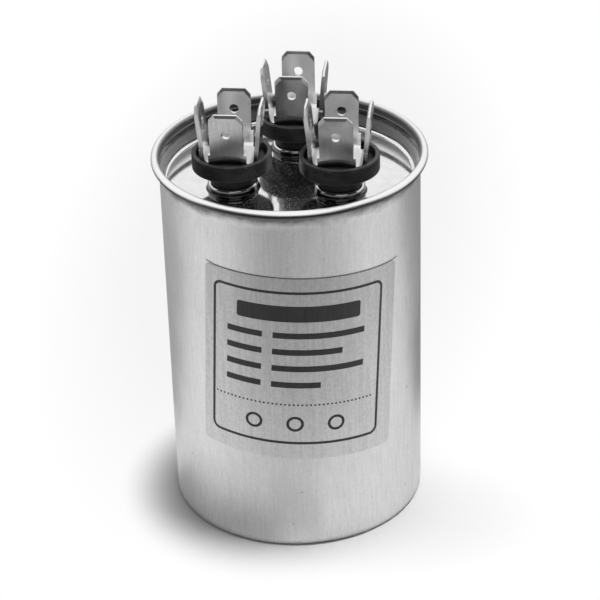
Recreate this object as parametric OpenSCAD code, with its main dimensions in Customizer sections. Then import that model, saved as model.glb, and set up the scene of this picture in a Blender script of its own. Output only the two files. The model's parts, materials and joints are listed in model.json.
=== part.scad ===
// Round dual-section motor-run capacitor: drawn can, seamed lid, three terminals with four blades each.
// Millimetres, +Z up, origin at the centre of the base. Label and two of the terminals face -Y.

/* [Can] */
// Outer diameter of the can's wall
can_d = 50; // [48:0.5:60]
// Height from the base to the top of the seam
can_h = 74.8; // [70:0.2:110]
// Thickness of the can's wall
can_wall = 0.4; // [0.3:0.05:0.6]
// Thickness of the can's base
base_t = 0.6; // [0.4:0.1:1.2]
// Outside radius of the edge round the base
base_edge_r = 0.8; // [0.8:0.1:1.6]
// Height of the flare under the seam
flare_h = 2.6; // [1.8:0.1:3]
// Radius of the flare's curve in section
flare_r = 5; // [4.5:0.5:7]

/* [Lid and seam] */
// Thickness of the lid's sheet
lid_t = 0.3; // [0.2:0.05:0.4]
// Depth of the lid below the top of the seam
recess_depth = 5.45; // [5.2:0.05:9]
// Inside radius between the lid and its recess wall
recess_fillet_r = 0.8; // [0.4:0.1:1.5]
// Diameter of the rolled seam
seam_d = 1.55; // [1.3:0.05:1.8]
// Metal of the seam above the can's lip
seam_skin = 0.6; // [0.4:0.1:0.8]

/* [Bosses] */
// Outer diameter of each raised boss
boss_d = 9.7; // [9.6:0.1:10.5]
// Height of each boss above the lid
boss_h = 1.55; // [1.3:0.05:2.5]
// Rounding at the top of each boss
boss_edge_r = 0.7; // [0.5:0.05:0.75]
// Rounding at the foot of each boss
boss_foot_r = 0.4; // [0.2:0.05:0.5]

/* [Insulator cups] */
// Outer diameter of each cup
cup_d = 15.2; // [14.8:0.1:17]
// Room between the cups and the recess wall
cup_margin = 4.9; // [3.5:0.1:6]
// Wall of the cup's rim
cup_wall = 0.9; // [0.6:0.1:1]
// Height from the boss to the cup's rim
cup_h = 6.2; // [5.6:0.1:8]
// Height of the cup's straight band
band_h = 3.2; // [2.4:0.1:3.6]
// Rounding under the band
band_edge_r = 0.3; // [0.2:0.1:1.2]
// Depth inside the cup
cup_depth = 1.7; // [1.3:0.1:2.2]
// Small bevel along the rim's edges
rim_bevel = 0.15; // [0.05:0.05:0.3]
// Diameter of the neck under the cup
neck_d = 8.8; // [8.3:0.1:10]
// Diameter of the neck's foot on the boss
neck_foot_d = 8.2; // [7:0.1:8.3]
// Height of the taper between neck and foot
neck_taper_h = 0.4; // [0.2:0.1:1.2]
// Outer diameter of the sleeve through the lid
sleeve_d = 6; // [5:0.1:6.4]

/* [Tabs] */
// Width of a blade
blade_w = 6.35; // [6.2:0.05:6.5]
// Thickness of the sheet that the tab is folded from
blade_t = 0.8; // [0.7:0.05:0.9]
// Length of a blade from its shoulders to its tip
blade_len = 8.5; // [7.8:0.1:9.5]
// Width of a blade's root
root_w = 7.2; // [6.8:0.1:7.6]
// Straight length of the root under the shoulders
root_len = 1.86; // [1.2:0.02:3]
// How far each blade leans outward, in degrees
lean = 5.5; // [0:0.5:7]
// Inside radius of the bend between web and blade
bend_r = 0.8; // [0.6:0.1:1.2]
// Room between the roots' corners and the cup
tab_gap = 0.17; // [0.15:0.01:0.4]
// Width that is cut off each corner of a tip
tip_cut_w = 1; // [0.6:0.05:1.4]
// Height that is cut off each corner of a tip
tip_cut_h = 1.15; // [0.6:0.05:1.6]
// Height of the coined edge round a tip
coin_h = 0.55; // [0.3:0.05:0.8]
// Depth of the coined edge on each face
coin_depth = 0.22; // [0.1:0.02:0.3]
// Diameter of the catch hole in a blade
catch_d = 1.8; // [1.4:0.1:2.2]
// Distance from the tip to the catch hole's centre
catch_from_tip = 4; // [3.4:0.1:4.8]

/* [Rivets and seals] */
// Diameter of the rivet's shank
shank_d = 3; // [2.4:0.1:3.4]
// Room round the shank in each hole
shank_gap = 0.05; // [0.02:0.01:0.15]
// Diameter of the rivet's head
head_d = 5; // [4.4:0.1:5.6]
// Height of the rivet's head
head_h = 0.9; // [0.6:0.1:1.2]
// Rounding of the head's edge
head_edge_r = 0.4; // [0.2:0.05:0.5]
// Diameter of the set foot under the bushing
set_d = 5; // [4.2:0.1:6]
// Height of the set foot
set_h = 0.8; // [0.5:0.1:1.2]
// Outer diameter of the bushing under the lid
bushing_d = 13; // [12:0.1:15]
// Thickness of the bushing
bushing_t = 2; // [1.5:0.1:2.6]
// Room round the sleeve in the lid and the gasket
sleeve_gap = 0.1; // [0.05:0.05:0.3]

/* [Roll] */
// Outer diameter of the core tube
core_d = 8; // [7:0.5:10]
// Wall of the core tube
core_wall = 1; // [0.6:0.1:1.4]
// Thickness of the small winding, from inside to outside
small_t = 2.9; // [2.4:0.1:4]
// Thickness of the film between the windings
barrier_t = 0.5; // [0.3:0.1:1]
// How far that film stands above the sprayed ends
barrier_proud = 1; // [0.5:0.1:1.5]
// Thickness of the sprayed metal on the roll's ends
spray_t = 0.5; // [0.3:0.1:0.8]
// Thickness of the wrap round the roll
wrap_t = 0.7; // [0.3:0.1:1.2]
// Room between the roll and the lid
head_room = 9.3; // [9:0.1:14]

/* [Insulation and leads] */
// Floor of the base insulator
pad_t = 1; // [0.8:0.1:1.6]
// Wall of the base insulator
pad_wall = 0.8; // [0.5:0.1:1.2]
// Height of the base insulator
pad_h = 6; // [4:0.5:12]
// Room round the plastic pieces in the can
fit_gap = 0.15; // [0.1:0.05:0.3]
// Thickness of the breaker plate
plate_t = 1.5; // [1:0.1:1.8]
// Height of the breaker plate's skirt
skirt_h = 2.6; // [2:0.1:3]
// Wall of that skirt
skirt_wall = 1.2; // [0.8:0.1:2]
// Width of a lead strip
strip_w = 3; // [2:0.1:3.2]
// Thickness of a lead strip
strip_t = 0.3; // [0.2:0.05:0.4]
// Inside radius of a lead's bends
strip_bend_r = 0.5; // [0.3:0.1:0.7]
// Room round a lead where it passes through plastic
strip_gap = 0.25; // [0.1:0.05:0.4]
// Length of a lead's foot on the sprayed metal
strip_foot = 4; // [2:0.1:5]

/* [Label] */
// Width of the label along the wall
label_w = 39.8; // [20:0.2:60]
// Height of the label
label_h = 39.6; // [20:0.2:60]
// Thickness of the label's foil
label_t = 0.08; // [0.05:0.01:0.09]
// Height of the label's centre
label_z = 40.4; // [36:0.2:46]
// How far round from -Y the label's centre lies, in degrees
label_turn = 9.4; // [-180:0.2:180]
// How crooked the label is, clockwise, in degrees
label_tilt = 3.5; // [-5:0.1:5]
// Radius of the label's corners
label_corner_r = 1; // [0.2:0.1:4]

/* [Hidden] */
$fn = 96;
SIDES = ["left", "right", "rear"];
SIDE_ANGLES = [210, 330, 90];
REPEATED = ["insulator", "tab", "rivet", "gasket", "bushing"];
SINGLE = [
    "can", "lid", "label", "core_tube", "small_winding", "barrier_film", "large_winding", "common_end",
    "small_end", "large_end", "roll_wrap", "base_insulator", "breaker_plate",
    "lead_left", "lead_right", "lead_rear"
];
cut = 0.5;

// Can and seam
can_r = can_d / 2;
can_ri = can_r - can_wall;
base_inner_edge_r = base_edge_r - can_wall;
seam_r = seam_d / 2;
seam_z = can_h - seam_d;
flare_z = seam_z - flare_h;
lip_ro = flared_r(flare_r);
lip_ri = flared_r(flare_r + can_wall);
lip_z = can_h - seam_skin;
seam_ri = flared_r(flare_r + can_wall + lid_t);

// Lid and bosses
lid_ri = can_ri - lid_t;
lid_z = can_h - recess_depth;
lid_fillet_r = min(recess_fillet_r, flare_z - lid_z);
lid_under_z = lid_z - lid_t;
boss_r = boss_d / 2;
boss_z = lid_z + boss_h;
boss_under_z = boss_z - lid_t;
sleeve_hole_r = sleeve_d / 2 + sleeve_gap;

// Terminals
cup_r = cup_d / 2;
cup_ri = cup_r - cup_wall;
pitch_r = lid_ri - cup_r - cup_margin;
cup_rim_z = boss_z + cup_h;
cup_floor_z = cup_rim_z - cup_depth;
band_z = cup_rim_z - band_h;
web_z = cup_floor_z + blade_t;
web_half = sqrt(pow(cup_ri - tab_gap, 2) - pow(root_w / 2, 2)) - bend_r - blade_t;
shank_hole_r = shank_d / 2 + shank_gap;
bushing_z = lid_under_z - bushing_t;
set_z = bushing_z - set_h;

// Roll
pad_r = can_ri - fit_gap;
pad_z = base_t + pad_t;
wrap_r = pad_r - pad_wall - fit_gap;
roll_r = wrap_r - wrap_t;
core_r = core_d / 2;
small_r = core_r + small_t;
barrier_r = small_r + barrier_t;
roll_z = pad_z + spray_t;
spray_top_z = lid_under_z - head_room;
roll_top_z = spray_top_z - spray_t;
plate_z = spray_top_z + skirt_h;

// Leads: how far each riser stands from the can's axis
small_riser_r = small_r - strip_t - strip_gap;
large_riser_r = (barrier_r + roll_r) / 2;
small_foot = small_riser_r - core_r - strip_gap;

// Steps along the label's upper and lower edges, and round each of its corners
label_steps = 8;
label_corner_steps = 4;

// How far from the axis a face of the flared sheet ends, from that face's radius in section
function flared_r(face_r) = can_r + flare_r - sqrt(pow(face_r, 2) - pow(flare_h, 2));

// Section of a straight-sided vessel with a rounded foot
module vessel_section(radius, foot_z, top_z, edge_r) {
    translate([0, foot_z]) square([radius - edge_r, top_z - foot_z]);
    translate([0, foot_z + edge_r]) square([radius, top_z - foot_z - edge_r]);
    translate([radius - edge_r, foot_z + edge_r]) circle(r = edge_r);
}

// Quarter of a ring of bent sheet about the origin, in the quadrant that the signs give
module bend_section(inner_r, sheet_t, sign_x, sign_y) {
    outer_r = inner_r + sheet_t;
    intersection() {
        difference() {
            circle(r = outer_r);
            circle(r = inner_r);
        }
        translate([sign_x > 0 ? 0 : -outer_r, sign_y > 0 ? 0 : -outer_r]) square(outer_r);
    }
}

// Plain ring between two radii and two heights
module ring(inner_r, outer_r, low_z, high_z) {
    rotate_extrude() translate([inner_r, low_z]) square([outer_r - inner_r, high_z - low_z]);
}

// Moves a piece from the can's axis to one of the terminals
module at_terminal(side) {
    angle = SIDE_ANGLES[side];
    translate([pitch_r * cos(angle), pitch_r * sin(angle), 0]) children();
}

// Section of a flared sheet between two radii about the flare's centre, which lies outside the can
module flare_section(inner_r, outer_r) {
    intersection() {
        translate([can_r + flare_r, flare_z]) difference() {
            circle(r = outer_r);
            circle(r = inner_r);
        }
        translate([can_r + flare_r - outer_r, flare_z]) square([outer_r, flare_h]);
    }
}

module can() {
    color("silver") rotate_extrude() {
        difference() {
            vessel_section(can_r, 0, flare_z, base_edge_r);
            vessel_section(can_ri, base_t, flare_z + cut, base_inner_edge_r);
        }
        flare_section(flare_r, flare_r + can_wall);
        translate([lip_ri, seam_z]) square([lip_ro - lip_ri, lip_z - seam_z]);
    }
}

// Seam: a bead that the lid's edge is rolled into, closed over the can's lip
module seam_section() {
    difference() {
        union() {
            translate([seam_ri + seam_r, seam_z + seam_r]) circle(r = seam_r);
            translate([seam_ri, seam_z]) square([lip_ri - seam_ri, seam_r]);
        }
        translate([lip_ri, seam_z - cut]) square([lip_ro - lip_ri, lip_z - seam_z + cut]);
    }
}

// Flat panel, bent up into a recess wall that follows the can's flare
module panel_section() {
    flat_r = lid_ri - lid_fillet_r;
    wall_z = lid_z + lid_fillet_r;
    translate([0, lid_under_z]) square([flat_r, lid_t]);
    translate([flat_r, wall_z]) bend_section(lid_fillet_r, lid_t, 1, -1);
    translate([lid_ri, wall_z]) square([lid_t, flare_z - wall_z]);
    flare_section(flare_r + can_wall, flare_r + can_wall + lid_t);
}

// Boss drawn up from the panel's sheet, with the sleeve's hole in its top
module boss_section() {
    edge_z = boss_z - boss_edge_r;
    foot_z = lid_z + boss_foot_r;
    translate([sleeve_hole_r, boss_under_z]) square([boss_r - boss_edge_r - sleeve_hole_r, lid_t]);
    translate([boss_r - boss_edge_r, edge_z]) bend_section(boss_edge_r - lid_t, lid_t, 1, 1);
    translate([boss_r - lid_t, foot_z]) square([lid_t, edge_z - foot_z]);
    translate([boss_r + boss_foot_r, foot_z]) bend_section(boss_foot_r, lid_t, -1, -1);
}

module lid() {
    color("gainsboro") {
        difference() {
            rotate_extrude() {
                seam_section();
                panel_section();
            }
            for (side = [0 : 2]) {
                at_terminal(side) translate([0, 0, lid_under_z - cut])
                    cylinder(r = boss_r + boss_foot_r, h = lid_t + 2 * cut);
            }
        }
        for (side = [0 : 2]) {
            at_terminal(side) rotate_extrude() boss_section();
        }
    }
}

// Cup with a stepped neck, and a sleeve that goes down through the lid
module insulator() {
    color("#202020") difference() {
        rotate_extrude() {
            polygon([
                [0, boss_z],
                [neck_foot_d / 2, boss_z],
                [neck_d / 2, boss_z + neck_taper_h],
                [neck_d / 2, band_z],
                [0, band_z]
            ]);
            vessel_section(cup_r, band_z, cup_rim_z - rim_bevel, band_edge_r);
            translate([0, cup_rim_z - rim_bevel]) polygon([
                [0, 0],
                [cup_r, 0],
                [cup_r - rim_bevel, rim_bevel],
                [0, rim_bevel]
            ]);
            translate([0, lid_under_z]) square([sleeve_d / 2, boss_z - lid_under_z]);
        }
        translate([0, 0, cup_floor_z]) cylinder(r = cup_ri, h = cup_depth + cut);
        translate([0, 0, cup_rim_z - rim_bevel])
            cylinder(r1 = cup_ri, r2 = cup_ri + rim_bevel, h = rim_bevel);
        translate([0, 0, lid_under_z - cut]) cylinder(r = shank_hole_r, h = cup_rim_z - lid_under_z);
    }
}

// Outline of one blade from the end of its bend to its tip, with shoulders, cut corners and catch hole
module blade_outline() {
    length = root_len + blade_len;
    difference() {
        union() {
            translate([-root_w / 2, 0]) square([root_w, root_len]);
            polygon([
                [-blade_w / 2, 0],
                [blade_w / 2, 0],
                [blade_w / 2, length - tip_cut_h],
                [blade_w / 2 - tip_cut_w, length],
                [tip_cut_w - blade_w / 2, length],
                [-blade_w / 2, length - tip_cut_h]
            ]);
        }
        translate([0, length - catch_from_tip]) circle(d = catch_d);
    }
}

// Wedges that thin both faces of a blade towards an edge along Y at the origin
module coin_wedges() {
    for (face = [-1, 1]) {
        rotate([90, 0, 0]) linear_extrude(2 * blade_w, center = true) polygon([
            [face * blade_t / 2, -coin_h],
            [face * (blade_t / 2 - coin_depth), 0],
            [face * (blade_t / 2 - coin_depth), cut],
            [face * (blade_t / 2 + cut), cut],
            [face * (blade_t / 2 + cut), -coin_h]
        ]);
    }
}

// One arm of the tab along +X: the bend and the leaning blade with its coined tip
module tab_arm() {
    length = root_len + blade_len;
    corner_angle = atan2(tip_cut_h, tip_cut_w);
    translate([web_half, 0, web_z + bend_r]) {
        rotate([90, 0, 0]) rotate([0, 0, -90]) rotate_extrude(angle = 90 - lean)
            translate([bend_r, -root_w / 2]) square([blade_t, root_w]);
        rotate([0, lean, 0]) translate([bend_r, 0, 0]) difference() {
            rotate([90, 0, 90]) linear_extrude(blade_t) blade_outline();
            translate([blade_t / 2, 0, length]) coin_wedges();
            for (corner = [-1, 1]) {
                translate([blade_t / 2, corner * (blade_w - tip_cut_w) / 2, length - tip_cut_h / 2])
                    rotate([-corner * corner_angle, 0, 0]) coin_wedges();
            }
        }
    }
}

module tab() {
    color("lightgray") {
        translate([0, 0, cup_floor_z]) linear_extrude(blade_t) difference() {
            intersection() {
                square(2 * web_half, center = true);
                circle(r = (web_half + root_w / 2) / sqrt(2));
            }
            circle(r = shank_hole_r);
        }
        for (turn = [0 : 90 : 270]) {
            rotate(turn) tab_arm();
        }
    }
}

module rivet() {
    color("darkgray") rotate_extrude() {
        translate([0, set_z]) square([set_d / 2, set_h]);
        translate([0, bushing_z]) square([shank_d / 2, web_z - bushing_z]);
        translate([0, web_z]) square([head_d / 2, head_h - head_edge_r]);
        translate([0, web_z]) square([head_d / 2 - head_edge_r, head_h]);
        translate([head_d / 2 - head_edge_r, web_z + head_h - head_edge_r]) circle(r = head_edge_r);
    }
}

module gasket() {
    color("dimgray") ring(sleeve_hole_r, boss_r - boss_edge_r, lid_under_z, boss_under_z);
}

module bushing() {
    color("ivory") ring(shank_hole_r, bushing_d / 2, bushing_z, lid_under_z);
}

module core_tube() {
    color("whitesmoke") ring(core_r - core_wall, core_r, pad_z, spray_top_z);
}

module small_winding() {
    color("lightsteelblue") ring(core_r, small_r, roll_z, roll_top_z);
}

module barrier_film() {
    color("khaki") ring(small_r, barrier_r, roll_z, spray_top_z + barrier_proud);
}

module large_winding() {
    color("lightsteelblue") ring(barrier_r, roll_r, roll_z, roll_top_z);
}

module common_end() {
    color("slategray") ring(core_r, roll_r, pad_z, roll_z);
}

module small_end() {
    color("slategray") ring(core_r, small_r, roll_top_z, spray_top_z);
}

module large_end() {
    color("slategray") ring(barrier_r, roll_r, roll_top_z, spray_top_z);
}

module roll_wrap() {
    color("tan") ring(roll_r, wrap_r, pad_z, spray_top_z);
}

// Dish under the roll, with a groove in its floor for the rear lead's foot
module base_insulator() {
    color("white") difference() {
        rotate_extrude() difference() {
            vessel_section(pad_r, base_t, base_t + pad_h, base_inner_edge_r + fit_gap);
            translate([0, pad_z]) square([pad_r - pad_wall, pad_h]);
        }
        translate([-strip_w / 2 - strip_gap, -strip_t - strip_gap, pad_z - strip_t])
            cube([strip_w + 2 * strip_gap, core_r + strip_foot + strip_t + 2 * strip_gap, strip_t + cut]);
    }
}

// Slot for a riser that stands a given distance from the can's axis
module riser_slot(riser_r) {
    slot = [strip_t + 2 * strip_gap, strip_w + 2 * strip_gap, plate_t + 2 * cut];
    translate([riser_r - slot.x / 2, -slot.y / 2, plate_z - cut]) cube(slot);
}

// Plate over the roll, standing on the wrap by its skirt, with a slot for each lead
module breaker_plate() {
    color("white") difference() {
        rotate_extrude() {
            translate([0, plate_z]) square([wrap_r, plate_t]);
            translate([wrap_r - skirt_wall, spray_top_z]) square([skirt_wall, skirt_h]);
        }
        rotate(SIDE_ANGLES[0]) riser_slot(small_riser_r);
        rotate(SIDE_ANGLES[1]) riser_slot(large_riser_r);
        rotate(SIDE_ANGLES[2]) riser_slot(0);
    }
}

// Area within one face of a folded strip, which bends round the origin and runs on along +X and +Y
module fold_section(face_r, run_x, run_y) {
    circle(r = face_r);
    translate([0, -face_r]) square([run_x, face_r + run_y]);
    translate([-face_r, 0]) square([face_r + run_x, run_y]);
}

// Half of a lead: an end that lies above zero and points to +X, a bend, and a riser over the origin
module lead_half_section(end_len, riser_h) {
    outer_r = strip_bend_r + strip_t;
    end_run = end_len - strip_bend_r - strip_t / 2;
    translate([end_len - end_run, outer_r]) difference() {
        fold_section(outer_r, end_run, riser_h);
        fold_section(strip_bend_r, end_run + cut, riser_h + cut);
    }
}

// Lead folded from strip: foot on the sprayed metal, end under the rivet, and a riser that both halves share
module lead(side, riser_r, foot_z, foot_dir, foot_len) {
    riser_h = set_z - foot_z - 2 * (strip_t + strip_bend_r);
    end_dir = sign(pitch_r - riser_r);
    end_len = abs(pitch_r - riser_r) + set_d / 2;
    color("peru") rotate(SIDE_ANGLES[side]) rotate([90, 0, 0]) linear_extrude(strip_w, center = true)
        translate([riser_r, 0]) {
            translate([0, foot_z]) mirror([foot_dir < 0 ? 1 : 0, 0]) lead_half_section(foot_len, riser_h);
            translate([0, set_z]) mirror([0, 1]) mirror([end_dir < 0 ? 1 : 0, 0])
                lead_half_section(end_len, riser_h);
        }
}

module lead_left() {
    lead(0, small_riser_r, spray_top_z, -1, small_foot);
}

module lead_right() {
    lead(1, large_riser_r, spray_top_z, 1, strip_foot);
}

module lead_rear() {
    lead(2, 0, pad_z - strip_t, 1, core_r + strip_foot);
}

// Corner and edge points of the label laid flat, then turned and set round the wall
function label_corner(sign_x, sign_y, start) = [
    for (angle = [start : 90 / label_corner_steps : start + 90]) [
        sign_x * (label_w / 2 - label_corner_r) + label_corner_r * cos(angle),
        sign_y * (label_h / 2 - label_corner_r) + label_corner_r * sin(angle)
    ]
];
function label_edge(sign_x, sign_y) = [
    for (step = [1 : label_steps - 1])
        [sign_x * (label_w / 2 - label_corner_r) * (2 * step / label_steps - 1), sign_y * label_h / 2]
];
function on_wall(p) = [
    can_r * sin((p.x * cos(label_tilt) + p.y * sin(label_tilt)) / can_r * 180 / PI),
    p.y * cos(label_tilt) - p.x * sin(label_tilt)
];

module label() {
    outline = concat(
        label_corner(1, 1, 0), label_edge(-1, 1), label_corner(-1, 1, 90),
        label_corner(-1, -1, 180), label_edge(1, -1), label_corner(1, -1, 270)
    );
    color("lightgray") rotate(label_turn) intersection() {
        ring(can_r, can_r + label_t, 0, can_h);
        translate([0, 0, label_z]) rotate([90, 0, 0]) linear_extrude(can_d)
            polygon([for (p = outline) on_wall(p)]);
    }
}

can();
lid();
label();
core_tube();
small_winding();
barrier_film();
large_winding();
common_end();
small_end();
large_end();
roll_wrap();
base_insulator();
breaker_plate();
lead_left();
lead_right();
lead_rear();
for (side = [0 : 2]) {
    at_terminal(side) insulator();
    at_terminal(side) tab();
    at_terminal(side) rivet();
    at_terminal(side) gasket();
    at_terminal(side) bushing();
}
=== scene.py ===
import json
import math

import bmesh
import bpy
from mathutils import Matrix, Vector


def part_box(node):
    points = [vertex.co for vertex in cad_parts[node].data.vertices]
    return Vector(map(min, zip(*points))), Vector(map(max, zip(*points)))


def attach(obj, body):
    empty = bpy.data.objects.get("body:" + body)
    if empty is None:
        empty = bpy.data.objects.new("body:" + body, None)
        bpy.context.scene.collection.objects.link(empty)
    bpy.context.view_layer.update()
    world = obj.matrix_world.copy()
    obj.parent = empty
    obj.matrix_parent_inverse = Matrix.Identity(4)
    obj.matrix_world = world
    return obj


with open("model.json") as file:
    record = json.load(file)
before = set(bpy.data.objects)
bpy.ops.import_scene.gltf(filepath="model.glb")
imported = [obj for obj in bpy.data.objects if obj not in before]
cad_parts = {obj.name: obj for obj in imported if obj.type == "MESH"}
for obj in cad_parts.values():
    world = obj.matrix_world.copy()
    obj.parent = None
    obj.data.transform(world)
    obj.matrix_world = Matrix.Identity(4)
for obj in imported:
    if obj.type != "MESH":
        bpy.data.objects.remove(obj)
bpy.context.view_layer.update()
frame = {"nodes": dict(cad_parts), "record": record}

# Looks of a round dual-section motor-run capacitor. Lengths are millimetres until MM turns them into metres.
MM = 0.001
mounts = {mount["name"]: mount for mount in frame["record"]["mounts"]}
WALL_R = mounts["can_wall"]["dims"]["r_mm"]
SEAM_D = 1.55
FLARE_LOW = mounts["can_wall"]["pos_m"][2] / MM + mounts["can_wall"]["dims"]["length_mm"] / 2
SEAM_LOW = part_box("lid")[1][2] / MM - SEAM_D

# Range of a share, and the usual range of one noise, of the sum of three and of the sum of four
WHOLE = (0.0, 1.0)
ONE_NOISE = (0.3, 0.7)
THREE_NOISES = (1.1, 1.9)
FOUR_NOISES = (1.4, 2.6)

# Stretches of the places on a piece: one that leaves out the height, and one for the foil's brushing
NO_HEIGHT = (1, 1, 0)
FOIL_BRUSHING = (1, 1, 0.03)

# Painted shade at the can's foot and under its seam: heights between which it fades, how dense it is, and
# how ragged its edges are
FOOT_LOW, FOOT_HIGH = 0.3, 1.8
FOOT_SHADE = 0.65
FLARE_SHADE_LOW, FLARE_SHADE_HIGH = FLARE_LOW + 1.9, SEAM_LOW + 1.2
PAINTED_SHADE_FULL = 1.1
SHADE_EDGE_GRAIN = 0.8
SHADE_EDGE_PATCH = 2.4

# Zones of the lid: distances from the axis, heights, and how far a surface faces up or outward
RIM_NEAR, RIM_FAR = 20, 22
LID_Z = 69.35
SKIRT_LOW, SKIRT_HIGH = LID_Z + 0.9, LID_Z + 1.15
SEAM_FADE = 0.4
FLAT_UP = (0.95, 0.99)
STEEP_UP = (0.1, 0.4)
UNDER_UP = (-0.1, 0.45)
INSIDE_OUTWARD = (-0.7, -0.2)
OUTSIDE_OUTWARD = (-0.2, 0.2)

# Finish of the lid: roughness that each zone adds, how metallic its dust is, its waves and the seam's lean
DULL_ROUGH = 0.2
DRAWN_ROUGH = 0.25
SEAM_ROUGH = 0.26
DUST_ROUGH = 0.5
DUST_METALLIC = 0.3
WAVE_STRENGTH = 0.6
SEAM_LEAN = 0.45

# Zones of a tab, by how far it faces up: the blades' inner faces look up a little and get painted light, and
# the web lies flat
BLADE_INNER_UP = (-0.05, 0.05)
WEB_UP = (0.4, 0.8)
WEB_ROUGH = 0.15
SCRATCH_TURN = (0, math.radians(28), 0)

# Label, as it lies on the wall, and the painted light at its foot and the painted shade at its top
LABEL_T = 0.08
LABEL_Z = 40.4
LABEL_TURN = math.radians(9.4)
LABEL_TILT = math.radians(3.5)
PAINTED_LIGHT_FOOT, PAINTED_SHADE_TOP = 0.25, -0.35

# Print on the label, from its own centre: x to the right, y up
INK_T = 0.012
INK_STEP = 0.5
BORDER_LEFT, BORDER_RIGHT = -17.5, 16.1
BORDER_LOW, BORDER_HIGH = -16.2, 16.8
BORDER_W = 0.55
BORDER_CORNER_R = 1.4
BAR_SPARE = 0.0001
DOT = 0.36
DOT_PITCH = 0.82
DIVIDER_Y = -7.6
TITLE = {"x": -0.7, "y": 12.3, "width": 24.0, "height": 3.4, "corner_r": 0.5}
ROW_TOP_Y = 7.6
ROW_PITCH = 3.6
ROW_H = 1.25
ROW_KEY_X = -14.6
ROW_KEY_W = 7.0
ROW_VALUE_X = -5.6
ROW_VALUE_W = (18.0, 13.5, 18.0, 9.5)
MARK_Y = -11.9
MARK_X = (-8.7, -0.7, 7.3)
MARK_R = 1.7

# Edge of the clear film over the label
FILM_LEFT, FILM_RIGHT = -19.7, 20.38
FILM_Y = 19.96
FILM_W = 0.025
FILM_CURL = 0.3
FILM_BEND = 14

# Camera, fitted to the photograph
CAMERA_PLACE = Vector((50.69, -392.04, 268.48)) * MM
CAMERA_HEADING = math.radians(7.196)
CAMERA_DOWN = math.radians(29.863)
CAMERA_ROLL = math.radians(-1.714)
CAMERA_LENS = 138.3
CAMERA_SENSOR = 36.0
CAMERA_CLIP = (10, 20000)

# Room: a paper floor with patches of painted shade, cards that only reflections show, and light
FLOOR_HALF = 3000
SHADOW_MIDDLE = (-1, -2.5)
SHADOW_NEAR, SHADOW_FAR = 23, 36
# Painted shade on the paper: a dim patch behind the object and a darker one at its right front
SHADE_PATCHES = (
    {"middle": (-15, 115), "half": (58, 150), "core": 0.6, "level": 0.91},
    {"middle": (14, -12), "half": (36, 22), "core": 0.0, "level": 0.78},
)
CARD_STEPS = 24
CARD_MOTTLE = 0.1
CARDS = (
    {"name": "foot_left", "facing": -50, "half": 40, "low": (28, 0.3), "high": (38, 0.3), "level": 0.33},
    {"name": "near_left", "facing": -46, "half": 44, "low": (38, 0.3), "high": (60, 0.3), "level": 0.93},
    {"name": "near_right", "facing": 55, "half": 45, "low": (28, 0.3), "high": (60, 0.3), "level": 0.87},
    {"name": "front_foot", "facing": -4, "half": 16, "low": (30, 0.6), "high": (47, 0.6), "level": 0.45},
    {"name": "front_floor", "facing": 0, "half": 45, "low": (60, 0.5), "high": (95, 0.5), "level": 0.76},
    {"name": "front_far", "facing": 0, "half": 45, "low": (95, 0.5), "high": (500, 0.5), "level": 0.62},
    {"name": "front_spot", "facing": 0, "half": 14, "low": (70, 1), "high": (170, 1), "level": 0.57},
    {"name": "blade_spot", "facing": -9, "half": 5, "low": (105, 2), "high": (155, 2), "level": 0.12},
    {"name": "blade_shade", "facing": -17, "half": 9, "low": (220, 2), "high": (480, 2), "level": 0.3},
    {"name": "front_low", "facing": 0, "half": 60, "low": (500, 0.5), "high": (500, 200), "level": 0.08},
    {"name": "front_high", "facing": 0, "half": 85, "low": (500, 200), "high": (500, 850), "level": 0.03},
    {"name": "room_wall", "facing": 180, "half": 120, "low": (500, 0.5), "high": (500, 200), "level": 0.35},
    {"name": "back_glow", "facing": 180, "half": 14, "low": (480, 20), "high": (480, 150), "level": 0.65},
    {"name": "back_left", "facing": -138, "half": 35, "low": (46, 0.5), "high": (500, 0.5), "level": 0.33},
    {"name": "back_right", "facing": 138, "half": 35, "low": (46, 0.5), "high": (500, 0.5), "level": 0.22},
    {"name": "softbox", "facing": 0, "half": 180, "low": (0.1, 600), "high": (300, 600), "level": 1.05},
    {"name": "softbox_front", "facing": 8, "half": 30, "low": (300, 600), "high": (480, 470), "level": 1.05},
)
ROOM_LIGHT = 0.28
KEY_LAMP = {"name": "key", "place": (110, -5, 480), "aim": (0, 0, 30), "size": 170, "power": 1.95}


def add(tree, kind, inputs=None, **properties):
    """Adds a shader node with its properties and inputs. An input that is given a socket is linked to it."""
    made = tree.nodes.new("ShaderNode" + kind)
    for name, value in properties.items():
        setattr(made, name, value)
    for name, value in (inputs or {}).items():
        if isinstance(value, bpy.types.NodeSocket):
            tree.links.new(value, made.inputs[name])
        else:
            made.inputs[name].default_value = value
    return made


def grey(level):
    """An opaque grey."""
    return (level, level, level, 1.0)


def empty_tree(owner):
    """Node tree of a material or world, without the nodes that it starts with."""
    owner.use_nodes = True
    owner.node_tree.nodes.clear()
    return owner.node_tree


def new_material(name, **inputs):
    """A material with one Principled shader. Inputs use the sockets' names with _ for a space."""
    material = bpy.data.materials.new(name)
    tree = empty_tree(material)
    values = {key.replace("_", " "): value for key, value in inputs.items()}
    shader = add(tree, "BsdfPrincipled", values)
    add(tree, "OutputMaterial", {"Surface": shader.outputs["BSDF"]})
    return material, tree, shader


def wire(tree, shader, **sockets):
    """Links sockets to the shader's inputs, named as in new_material."""
    for name, socket in sockets.items():
        tree.links.new(socket, shader.inputs[name.replace("_", " ")])


def times(tree, first, second):
    """Product of two values."""
    return add(tree, "Math", {0: first, 1: second}, operation="MULTIPLY").outputs["Value"]


def total(tree, *values):
    """Sum of several values."""
    mixed = values[0]
    for value in values[1:]:
        mixed = add(tree, "Math", {0: mixed, 1: value}, operation="ADD").outputs["Value"]
    return mixed


def weighed(tree, *pairs):
    """Sum of several values, each times its weight."""
    return total(tree, *(times(tree, value, weight) for value, weight in pairs))


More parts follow.
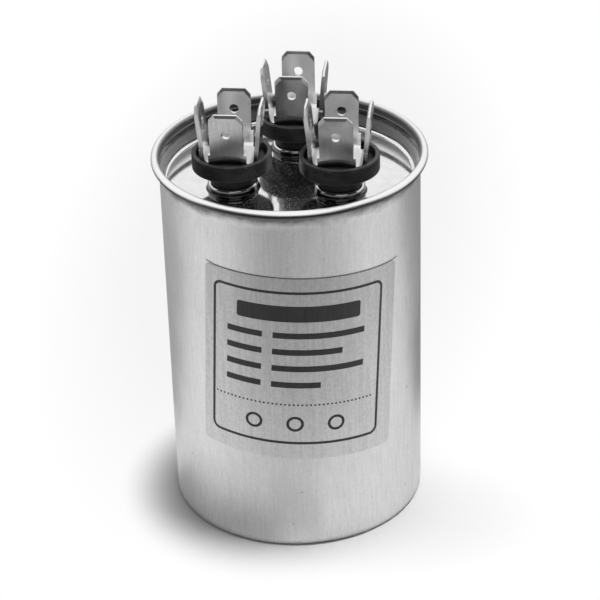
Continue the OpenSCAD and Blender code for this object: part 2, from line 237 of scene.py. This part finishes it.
def spread_range(tree, value, low, high, limits=ONE_NOISE):
    """The value, spread so that its limits become low and high, and held between them."""
    start, end = limits
    inputs = {"Value": value, "From Min": start, "From Max": end, "To Min": low, "To Max": high}
    return add(tree, "MapRange", inputs).outputs["Result"]


def rising(tree, value, start, end):
    """Zero up to start, one from end on, and straight between them."""
    return spread_range(tree, value, 0.0, 1.0, (start, end))


def falling(tree, value, start, end):
    """One up to start, zero from end on, and straight between them."""
    return spread_range(tree, value, 1.0, 0.0, (start, end))


def rest(tree, share):
    """What a share leaves of one."""
    return falling(tree, share, *WHOLE)


def tone(tree, value, first, second, limits=ONE_NOISE):
    """A colour between two colours or colour sockets, chosen by where the value lies in its limits."""
    share = rising(tree, value, *limits)
    return add(tree, "Mix", {0: share, 6: first, 7: second}, data_type="RGBA").outputs[2]


def cover(tree, share, below, above):
    """A colour or colour socket, covered by another where the share is one."""
    return tone(tree, share, below, above, WHOLE)


def surface_place(tree, stretch=(1, 1, 1), turn=(0, 0, 0), shift=(0, 0, 0)):
    """Places on the piece in the row frame, stretched, turned and shifted for a texture."""
    place = add(tree, "TexCoord").outputs["Object"]
    change = {"Vector": place, "Scale": stretch, "Rotation": turn, "Location": shift}
    return add(tree, "Mapping", change).outputs["Vector"]


def surface_normal(tree):
    """Direction that the surface faces."""
    return add(tree, "NewGeometry").outputs["Normal"]


def surface_noise(tree, scale, stretch=(1, 1, 1), detail=2, turn=(0, 0, 0)):
    """Noise over the piece. Scale is in waves per metre, and a small stretch makes streaks along an axis."""
    place = surface_place(tree, stretch, turn)
    return add(tree, "TexNoise", {"Vector": place, "Scale": scale, "Detail": detail}).outputs["Fac"]


def specks(tree, scale, size):
    """One where there is a speck and zero elsewhere. Size is a share of the specks' spacing."""
    place = surface_place(tree)
    near = add(tree, "TexVoronoi", {"Vector": place, "Scale": scale}).outputs["Distance"]
    return falling(tree, near, size / 2, size)


def length_of(tree, vector):
    """Length of a vector."""
    return add(tree, "VectorMath", {0: vector}, operation="LENGTH").outputs["Value"]


def unit(tree, vector):
    """The vector, made one long."""
    return add(tree, "VectorMath", {0: vector}, operation="NORMALIZE").outputs["Vector"]


def upright_part(tree, vector):
    """How far a vector reaches up."""
    return add(tree, "SeparateXYZ", {0: vector}).outputs["Z"]


def height_on_piece(tree):
    """Height over the floor, in metres."""
    return upright_part(tree, surface_place(tree))


def facing_up(tree):
    """How far a surface faces up: 1 for a floor, 0 for a wall and -1 for a ceiling."""
    return upright_part(tree, surface_normal(tree))


def facing_out(tree):
    """How far a surface faces away from the axis: 1 for the outside of a wall and -1 for its inside."""
    outward = unit(tree, surface_place(tree, NO_HEIGHT))
    sockets = {0: outward, 1: surface_normal(tree)}
    return add(tree, "VectorMath", sockets, operation="DOT_PRODUCT").outputs["Value"]


def bump(tree, height, distance, strength, **below):
    """Normal of a surface with hills, distance millimetres high, over the normal below if one is given."""
    values = {"Height": height, "Distance": distance * MM, "Strength": strength, **below}
    return add(tree, "Bump", values).outputs["Normal"]


def rounded_edges(tree, radius):
    """Normal that catches the light along edges as if they were rounded."""
    return add(tree, "Bevel", {"Radius": radius * MM}, samples=6).outputs["Normal"]


def leaning_up(tree, share):
    """Normal that leans up by a share, as on a roll that a tool has flattened."""
    push = add(tree, "CombineXYZ", {"Z": share}).outputs["Vector"]
    sockets = {0: surface_normal(tree), 1: push}
    return unit(tree, add(tree, "VectorMath", sockets, operation="ADD").outputs["Vector"])


def can_metal():
    """Drawn aluminium: upright brushing, a mottled grain, faint stains, and painted shade at the foot and
    under the seam.
    """
    material, tree, shader = new_material("can_metal", Metallic=1.0)
    streaks = surface_noise(tree, scale=2200, stretch=(1, 1, 0.09), detail=3)
    grain = surface_noise(tree, scale=2600, stretch=(1, 1, 0.7), detail=3)
    stain = surface_noise(tree, scale=75, stretch=(1, 1, 0.5), detail=4)
    patches = surface_noise(tree, scale=420, stretch=(1, 1, 1.4), detail=3)
    marks = total(tree, streaks, grain, stain, stain)
    plain = tone(tree, marks, grey(0.64), grey(0.86), FOUR_NOISES)
    marked = cover(tree, specks(tree, scale=180, size=0.05), plain, grey(0.45))
    # Painted shade: darker at the foot and on the flare under the seam, with ragged edges from the grain and
    # patches
    height = total(tree, height_on_piece(tree), times(tree, grain, SHADE_EDGE_GRAIN * MM))
    ragged = total(tree, height, times(tree, patches, SHADE_EDGE_PATCH * MM))
    flare = rising(tree, ragged, FLARE_SHADE_LOW * MM, FLARE_SHADE_HIGH * MM)
    foot = spread_range(tree, height, FOOT_SHADE, 0.0, (FOOT_LOW * MM, FOOT_HIGH * MM))
    painted_shade = total(tree, flare, foot)
    wire(
        tree,
        shader,
        Base_Color=tone(tree, painted_shade, marked, grey(0.12), (0.0, PAINTED_SHADE_FULL)),
        Roughness=spread_range(tree, stain, low=0.44, high=0.52),
        Normal=bump(tree, grain, distance=0.006, strength=0.6),
    )
    return material


def lid_metal():
    """Bright tin plate: a dusty, wavy mirror on the flat, a duller drawn wall painted darker as shade, and a
    satin seam.

    Painted shade darkens the feet of the bosses and the underside of the seam.
    """
    material, tree, shader = new_material("lid_metal")
    wave = surface_noise(tree, scale=140, detail=1)
    cloud = surface_noise(tree, scale=450, detail=4)
    away = length_of(tree, surface_place(tree, NO_HEIGHT))
    height = height_on_piece(tree)
    upward = facing_up(tree)
    outward = facing_out(tree)
    seam = rising(tree, height, (SEAM_LOW - SEAM_FADE) * MM, SEAM_LOW * MM)
    flat = times(tree, rising(tree, upward, *FLAT_UP), rest(tree, seam))
    wall = times(tree, rising(tree, away, RIM_NEAR * MM, RIM_FAR * MM), rest(tree, flat))
    steep = times(tree, wall, falling(tree, upward, *STEEP_UP))
    drawn = times(tree, steep, rest(tree, seam))
    inside = times(tree, seam, falling(tree, outward, *INSIDE_OUTWARD))
    dull_and_shaded = total(tree, inside, drawn)
    # Painted shade: the feet of the bosses and the underside of the seam get a dark colour
    low = falling(tree, height, SKIRT_LOW * MM, SKIRT_HIGH * MM)
    skirt = times(tree, low, rest(tree, total(tree, flat, wall)))
    under = times(tree, falling(tree, upward, *UNDER_UP), seam)
    painted_shade = total(tree, skirt, under)
    dust = times(tree, specks(tree, scale=3400, size=0.21), flat)
    bright = tone(tree, cloud, grey(0.76), grey(0.84))
    rolled = cover(tree, seam, bright, grey(0.93))
    # Painted shade: the drawn wall of the recess and the seam's inner side get a darker colour as well as
    # more roughness
    metal = cover(tree, dull_and_shaded, rolled, grey(0.42))
    polish = spread_range(tree, cloud, low=0.05, high=0.1)
    rough = weighed(tree, (dull_and_shaded, DULL_ROUGH), (drawn, DRAWN_ROUGH), (seam, SEAM_ROUGH), (dust, DUST_ROUGH))
    lean = times(tree, seam, spread_range(tree, outward, 0.0, SEAM_LEAN, OUTSIDE_OUTWARD))
    waves = times(tree, flat, WAVE_STRENGTH)
    wire(
        tree,
        shader,
        Metallic=spread_range(tree, dust, 1.0, DUST_METALLIC, WHOLE),
        Base_Color=cover(tree, painted_shade, metal, grey(0.1)),
        Roughness=total(tree, polish, rough),
        Normal=bump(tree, wave, distance=0.01, strength=waves, Normal=leaning_up(tree, lean)),
    )
    return material


def label_foil():
    """Satin foil, a little darker than the can, brushed upright, with painted light towards its foot and
    painted shade towards its top.
    """
    material, tree, shader = new_material("label_foil", Metallic=1.0)
    streaks = surface_noise(tree, scale=2200, stretch=FOIL_BRUSHING, detail=3)
    broad = surface_noise(tree, scale=260, stretch=(1, 1, 0.06))
    grain = surface_noise(tree, scale=1700)
    foot_and_top = [corner[2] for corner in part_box("label")]
    # Painted light towards the foot of the label and painted shade towards its top
    painted_fade = spread_range(tree, height_on_piece(tree), PAINTED_LIGHT_FOOT, PAINTED_SHADE_TOP, foot_and_top)
    marks = total(tree, streaks, broad, grain, painted_fade)
    wire(
        tree,
        shader,
        Base_Color=tone(tree, marks, grey(0.52), grey(0.72), THREE_NOISES),
        Roughness=spread_range(tree, broad, low=0.46, high=0.54),
        Normal=bump(tree, streaks, distance=0.004, strength=0.6),
    )
    return material


def ink():
    """Black print, thin enough for the foil's brushing to show in its gloss."""
    material, tree, shader = new_material("ink", Metallic=0.0)
    fine = surface_noise(tree, scale=3000, stretch=FOIL_BRUSHING, detail=3)
    wire(
        tree,
        shader,
        Base_Color=tone(tree, fine, grey(0.012), grey(0.03)),
        Roughness=spread_range(tree, fine, low=0.42, high=0.58),
    )
    return material


def insulator_plastic():
    """Moulded black plastic with a fine grain, scuffs and pale rubbed spots."""
    material, tree, shader = new_material("insulator_plastic", Specular_IOR_Level=0.3)
    grain = surface_noise(tree, scale=1800, detail=4)
    scuff = surface_noise(tree, scale=420, stretch=(1, 1, 3), detail=5)
    rubbed_and_shaded = specks(tree, scale=700, size=0.1)
    plain = tone(tree, scuff, grey(0.02), grey(0.05))
    soft = rounded_edges(tree, radius=0.12)
    wire(
        tree,
        shader,
        Base_Color=cover(tree, rubbed_and_shaded, plain, grey(0.16)),
        Roughness=spread_range(tree, scuff, low=0.3, high=0.46),
        Normal=bump(tree, grain, distance=0.012, strength=0.5, Normal=soft),
    )
    return material


def tab_metal():
    """Tinned sheet: a soft mirror with a fine grain, scratches and clouds.

    Faces that look up, such as the blades' inner faces, get a lighter tone as painted light, and what lies
    flat is rougher.
    """
    material, tree, shader = new_material("tab_metal", Metallic=1.0)
    grain = surface_noise(tree, scale=3000, detail=3)
    scratches = surface_noise(tree, scale=2600, stretch=(1, 1, 0.04), turn=SCRATCH_TURN)
    cloud = surface_noise(tree, scale=220, detail=3)
    upward = facing_up(tree)
    # Painted light: faces that look up get a lighter copy of the sheet's tone than faces that look down
    lit_inner = rising(tree, upward, *BLADE_INNER_UP)
    flat = rising(tree, upward, *WEB_UP)
    marks = total(tree, cloud, scratches, grain)
    rubbed_and_shaded = tone(tree, marks, grey(0.68), grey(0.88), THREE_NOISES)
    painted_light_tone = tone(tree, marks, grey(0.88), grey(0.98), THREE_NOISES)
    polish = spread_range(tree, cloud, low=0.18, high=0.25)
    wire(
        tree,
        shader,
        Base_Color=cover(tree, lit_inner, rubbed_and_shaded, painted_light_tone),
        Roughness=total(tree, polish, times(tree, flat, WEB_ROUGH)),
        Normal=bump(tree, grain, distance=0.003, strength=0.5),
    )
    return material


# Grained looks of the rivets and of the pieces inside the can, by slot
ROUGH_SPREAD = 0.06
GRAINED_LOOKS = {
    "rivet_metal": {"dark": grey(0.5), "light": grey(0.66), "rough": 0.28, "metallic": 1.0, "scale": 900},
    "seal_rubber": {"dark": grey(0.016), "light": grey(0.04), "rough": 0.72},
    "bushing_plastic": {"dark": (0.6, 0.55, 0.42, 1), "light": (0.72, 0.68, 0.56, 1), "rough": 0.5},
    "pale_plastic": {"dark": grey(0.7), "light": grey(0.82), "rough": 0.5},
    "winding_film": {
        "dark": (0.4, 0.42, 0.46, 1),
        "light": (0.56, 0.58, 0.61, 1),
        "rough": 0.3,
        "metallic": 0.4,
        "scale": 2400,
        "stretch": (1, 1, 0.02),
    },
    "barrier_film": {"dark": (0.6, 0.5, 0.3, 1), "light": (0.72, 0.63, 0.42, 1), "rough": 0.3},
    "sprayed_metal": {
        "dark": grey(0.28),
        "light": grey(0.46),
        "rough": 0.7,
        "metallic": 1.0,
        "scale": 1600,
        "depth": 0.12,
    },
    "wrap_film": {"dark": (0.58, 0.5, 0.36, 1), "light": (0.68, 0.6, 0.46, 1), "rough": 0.4},
    "lead_metal": {
        "dark": (0.6, 0.33, 0.2, 1),
        "light": (0.76, 0.47, 0.32, 1),
        "rough": 0.3,
        "metallic": 1.0,
        "scale": 1200,
    },
}


def grained(name, dark, light, rough, metallic=0.0, scale=700, stretch=(1, 1, 1), depth=0.02):
    """A material whose colour, gloss and bumps follow one grain."""
    material, tree, shader = new_material(name, Metallic=metallic)
    grain = surface_noise(tree, scale, stretch, detail=4)
    wire(
        tree,
        shader,
        Base_Color=tone(tree, grain, dark, light),
        Roughness=spread_range(tree, grain, rough - ROUGH_SPREAD, rough + ROUGH_SPREAD),
        Normal=bump(tree, grain, depth, strength=0.6),
    )
    return material


def slot_materials():
    """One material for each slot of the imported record."""
    materials = {
        "can_metal": can_metal(),
        "lid_metal": lid_metal(),
        "label_foil": label_foil(),
        "insulator_plastic": insulator_plastic(),
        "tab_metal": tab_metal(),
    }
    for slot, look in GRAINED_LOOKS.items():
        materials[slot] = grained(slot, **look)
    return materials


def dress_nodes(materials):
    """Gives each CAD piece the material of its slot."""
    for part in frame["record"]["subparts"]:
        slots = frame["nodes"][part["node"]].data.materials
        slots.clear()
        slots.append(materials[part["material_slot"]])


def add_object(name, data):
    """A new object of the scene that shows a mesh, a lamp or a camera."""
    thing = bpy.data.objects.new(name, data)
    bpy.context.scene.collection.objects.link(thing)
    return thing


def on_label(x, y, lift):
    """A point of the label's own plane, wrapped on the wall and lifted off it."""
    along = x * math.cos(LABEL_TILT) + y * math.sin(LABEL_TILT)
    up = y * math.cos(LABEL_TILT) - x * math.sin(LABEL_TILT)
    angle = LABEL_TURN + along / WALL_R
    radius = WALL_R + lift
    return Vector((radius * math.sin(angle), -radius * math.cos(angle), LABEL_Z + up)) * MM


def add_strip(mesh, left_edge, right_edge, closed=False, foot=LABEL_T):
    """A thin solid between two rows of points on the label, from its foot to the top of the ink."""
    top = LABEL_T + INK_T
    rows = [
        [mesh.verts.new(on_label(x, y, lift)) for x, y in edge]
        for edge, lift in ((left_edge, foot), (left_edge, top), (right_edge, top), (right_edge, foot))
    ]
    count = len(left_edge)
    for step in range(count if closed else count - 1):
        after = (step + 1) % count
        for low, high in zip(rows, rows[1:] + rows[:1]):
            mesh.faces.new((low[step], low[after], high[after], high[step]))
    if not closed:
        mesh.faces.new([row[0] for row in rows])
        mesh.faces.new([row[-1] for row in reversed(rows)])


def add_bar(mesh, x, y, width, height, corner_r=0.0):
    """A bar about a point, with round corners where a radius is given.

    The spare height keeps an end that is all round from closing to a line.
    """
    steps = max(2, round(width / INK_STEP))
    places = [-width / 2 + width * step / steps for step in range(steps + 1)]
    if corner_r:
        round_steps = 6
        turns = [math.pi / 2 * step / round_steps for step in range(round_steps + 1)]
        corner = [width / 2 - corner_r * (1 - math.sin(turn)) for turn in turns]
        lit_inner = [place for place in places if abs(place) < width / 2 - corner_r]
        places = [-place for place in reversed(corner)] + lit_inner + corner
    half = []
    for place in places:
        past = max(0.0, abs(place) - (width / 2 - corner_r))
        cut = corner_r - math.sqrt(max(0.0, corner_r**2 - past**2))
        half.append(height / 2 - cut + BAR_SPARE)
    low = [(x + place, y - h) for place, h in zip(places, half)]
    high = [(x + place, y + h) for place, h in zip(places, half)]
    add_strip(mesh, low, high)


def arc_points(x, y, radius, turns):
    """Points about a centre, one at each turn."""
    return [(x + radius * math.cos(turn), y + radius * math.sin(turn)) for turn in turns]


def add_ring(mesh, x, y, radius, width):
    """A ring about a point, as wide as given inside its radius."""
    count = 40
    turns = [2 * math.pi * step / count for step in range(count)]
    add_strip(mesh, arc_points(x, y, radius - width, turns), arc_points(x, y, radius, turns), closed=True)


def rounded_frame(grow):
    """Points round the border, moved outward by grow."""
    arc_steps = 8
    corners = (
        (BORDER_RIGHT, BORDER_HIGH),
        (BORDER_LEFT, BORDER_HIGH),
        (BORDER_LEFT, BORDER_LOW),
        (BORDER_RIGHT, BORDER_LOW),
    )
    arcs = []
    for quarter, (x, y) in enumerate(corners):
        centre_x = x - math.copysign(BORDER_CORNER_R, x)
        centre_y = y - math.copysign(BORDER_CORNER_R, y)
        turns = [math.pi / 2 * (quarter + step / arc_steps) for step in range(arc_steps + 1)]
        arcs.append(arc_points(centre_x, centre_y, BORDER_CORNER_R + grow, turns))
    points = []
    for arc, following in zip(arcs, arcs[1:] + arcs[:1]):
        points += arc
        (x0, y0), (x1, y1) = arc[-1], following[0]
        steps = round(math.hypot(x1 - x0, y1 - y0) / INK_STEP)
        shares = [step / steps for step in range(1, steps)]
        points += [(x0 + (x1 - x0) * share, y0 + (y1 - y0) * share) for share in shares]
    return points


def add_film_edge(mesh):
    """Dark edge of the clear film, which stands a little over the label's top and curls up at both ends."""
    width = FILM_RIGHT - FILM_LEFT
    steps = round(width / INK_STEP)
    low, high = [], []
    for step in range(steps + 1):
        share = step / steps
        x = FILM_LEFT + width * share
        y = FILM_Y + FILM_CURL * abs(2 * share - 1) ** FILM_BEND
        low.append((x, y - FILM_W / 2))
        high.append((x, y + FILM_W / 2))
    add_strip(mesh, low, high, foot=0.0)


def label_print(material):
    """Generic print: a border, a heading bar, rows of bars, a dotted divider, rings, and the film's edge."""
    mesh = bmesh.new()
    add_strip(mesh, rounded_frame(-BORDER_W / 2), rounded_frame(BORDER_W / 2), closed=True)
    add_bar(mesh, **TITLE)
    for row, value_w in enumerate(ROW_VALUE_W):
        y = ROW_TOP_Y - row * ROW_PITCH
        add_bar(mesh, ROW_KEY_X + ROW_KEY_W / 2, y, ROW_KEY_W, ROW_H)
        add_bar(mesh, ROW_VALUE_X + value_w / 2, y, value_w, ROW_H)
    dots = int((BORDER_RIGHT - BORDER_LEFT) / DOT_PITCH)
    for dot in range(1, dots):
        add_bar(mesh, BORDER_LEFT + dot * DOT_PITCH, DIVIDER_Y, DOT, DOT)
    add_film_edge(mesh)
    for x in MARK_X:
        add_ring(mesh, x, MARK_Y, MARK_R, BORDER_W)
    bmesh.ops.recalc_face_normals(mesh, faces=mesh.faces)
    data = bpy.data.meshes.new("label_print")
    mesh.to_mesh(data)
    mesh.free()
    data.materials.append(material)
    piece = add_object("label_print", data)
    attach(piece, "root")


def add_stage(name, corners, faces, material):
    """A sheet of the room, which is not part of the object."""
    data = bpy.data.meshes.new(name)
    data.from_pydata([Vector(corner) * MM for corner in corners], [], faces)
    data.materials.append(material)
    thing = add_object(name, data)
    return thing


def shown_rays(tree):
    """One for the rays that show the background: from the camera, or by way of metal or glass."""
    path = add(tree, "LightPath").outputs
    seen = path["Is Camera Ray"]
    for ray in ("Is Glossy Ray", "Is Transmission Ray"):
        seen = add(tree, "Math", {0: seen, 1: path[ray]}, operation="MAXIMUM").outputs["Value"]
    return seen


def paper_shade_level(tree):
    """How white the paper is: one, and less in each patch of painted shade, which fades from its core to its
    edge.
    """
    level = 1.0
    for patch in SHADE_PATCHES:
        (middle_x, middle_y), (half_x, half_y) = patch["middle"], patch["half"]
        stretch = (1 / half_x / MM, 1 / half_y / MM, 0)
        place = surface_place(tree, stretch, shift=(-middle_x / half_x, -middle_y / half_y, 0))
        painted_fade = (patch["core"], 1.0)
        level = times(tree, level, spread_range(tree, length_of(tree, place), patch["level"], 1.0, painted_fade))
    return level


def make_floor():
    """Pale paper that keeps the shadow near the object and goes over to plain white farther out."""
    material, tree, shader = new_material("floor", Roughness=0.9, Specular_IOR_Level=0.1)
    paper = surface_noise(tree, scale=900, detail=3)
    # Painted shade of the patches darkens both the paper's colour and the white that the camera sees
    level = paper_shade_level(tree)
    fibres = tone(tree, paper, grey(0.85), grey(0.87))
    wire(
        tree,
        shader,
        Base_Color=cover(tree, level, grey(0.0), fibres),
        Normal=bump(tree, paper, distance=0.01, strength=0.2),
    )
    shade_x, shade_y = SHADOW_MIDDLE
    away = length_of(tree, surface_place(tree, shift=(-shade_x * MM, -shade_y * MM, 0)))
    limits = {"Value": away, "From Min": SHADOW_NEAR * MM, "From Max": SHADOW_FAR * MM}
    far = add(tree, "MapRange", limits, interpolation_type="SMOOTHSTEP").outputs["Result"]
    share = times(tree, far, shown_rays(tree))
    white = add(tree, "Emission", {"Color": level})
    mixed = add(tree, "MixShader", {0: share, 1: shader.outputs["BSDF"], 2: white.outputs["Emission"]})
    tree.links.new(mixed.outputs["Shader"], tree.nodes["Material Output"].inputs["Surface"])
    sides = ((-1, -1), (1, -1), (1, 1), (-1, 1))
    corners = [(FLOOR_HALF * x, FLOOR_HALF * y, 0) for x, y in sides]
    add_stage("floor", corners, [(0, 1, 2, 3)], material)


def add_card(name, facing, half, low, high, level):
    """Grey card that only reflections show: a sector about the object.

    Its middle is before the object at 0 degrees and behind it at 180. It reaches half degrees to each side.
    Low and high give the radius and height of its two curved edges.
    """
    material = bpy.data.materials.new(name)
    tree = empty_tree(material)
    cloth = surface_noise(tree, scale=12, detail=1)
    mottled = tone(tree, cloth, grey(level * (1 - CARD_MOTTLE)), grey(level * (1 + CARD_MOTTLE)))
    light = add(tree, "Emission", {"Color": mottled})
    add(tree, "OutputMaterial", {"Surface": light.outputs["Emission"]})
    corners = []
    for step in range(CARD_STEPS + 1):
        turn = CAMERA_HEADING + math.radians(facing + half * (2 * step / CARD_STEPS - 1))
        corners += [(radius * math.sin(turn), -radius * math.cos(turn), z) for radius, z in (low, high)]
    faces = [(step, step + 1, step + 3, step + 2) for step in range(0, 2 * CARD_STEPS, 2)]
    card = add_stage(name, corners, faces, material)
    card.visible_camera = False
    card.visible_diffuse = False
    card.visible_shadow = False
    card.visible_transmission = False


def make_world():
    """White to the camera and in reflections, softer as light."""
    world = bpy.data.worlds.new("studio")
    bpy.context.scene.world = world
    tree = empty_tree(world)
    light = add(tree, "Background", {"Color": grey(1.0), "Strength": ROOM_LIGHT})
    shown = add(tree, "Background", {"Color": grey(1.0), "Strength": 1.0})
    parts = {0: shown_rays(tree), 1: light.outputs["Background"], 2: shown.outputs["Background"]}
    mixed = add(tree, "MixShader", parts)
    add(tree, "OutputWorld", {"Surface": mixed.outputs["Shader"]})


def add_lamp(name, place, aim, size, power):
    """A round lamp that no reflection shows."""
    light = bpy.data.lights.new(name, "AREA")
    light.shape = "DISK"
    light.size = size * MM
    light.energy = power
    lamp = add_object(name, light)
    lamp.location = Vector(place) * MM
    lamp.rotation_euler = (Vector(aim) * MM - lamp.location).to_track_quat("-Z", "Y").to_euler()
    lamp.visible_glossy = False


def make_camera():
    """The camera, turned to its heading, tipped down and rolled."""
    data = bpy.data.cameras.new("camera")
    data.lens = CAMERA_LENS
    data.sensor_width = CAMERA_SENSOR
    data.clip_start, data.clip_end = (limit * MM for limit in CAMERA_CLIP)
    camera = add_object("camera", data)
    turn = Matrix.Rotation(CAMERA_HEADING, 4, "Z")
    tip = Matrix.Rotation(math.pi / 2 - CAMERA_DOWN, 4, "X")
    roll = Matrix.Rotation(CAMERA_ROLL, 4, "Z")
    camera.matrix_world = Matrix.Translation(CAMERA_PLACE) @ turn @ tip @ roll
    bpy.context.scene.camera = camera


dress_nodes(slot_materials())
label_print(ink())
make_floor()
for card in CARDS:
    add_card(**card)
make_world()
add_lamp(**KEY_LAMP)
make_camera()
bpy.context.scene.view_settings.view_transform = "Standard"
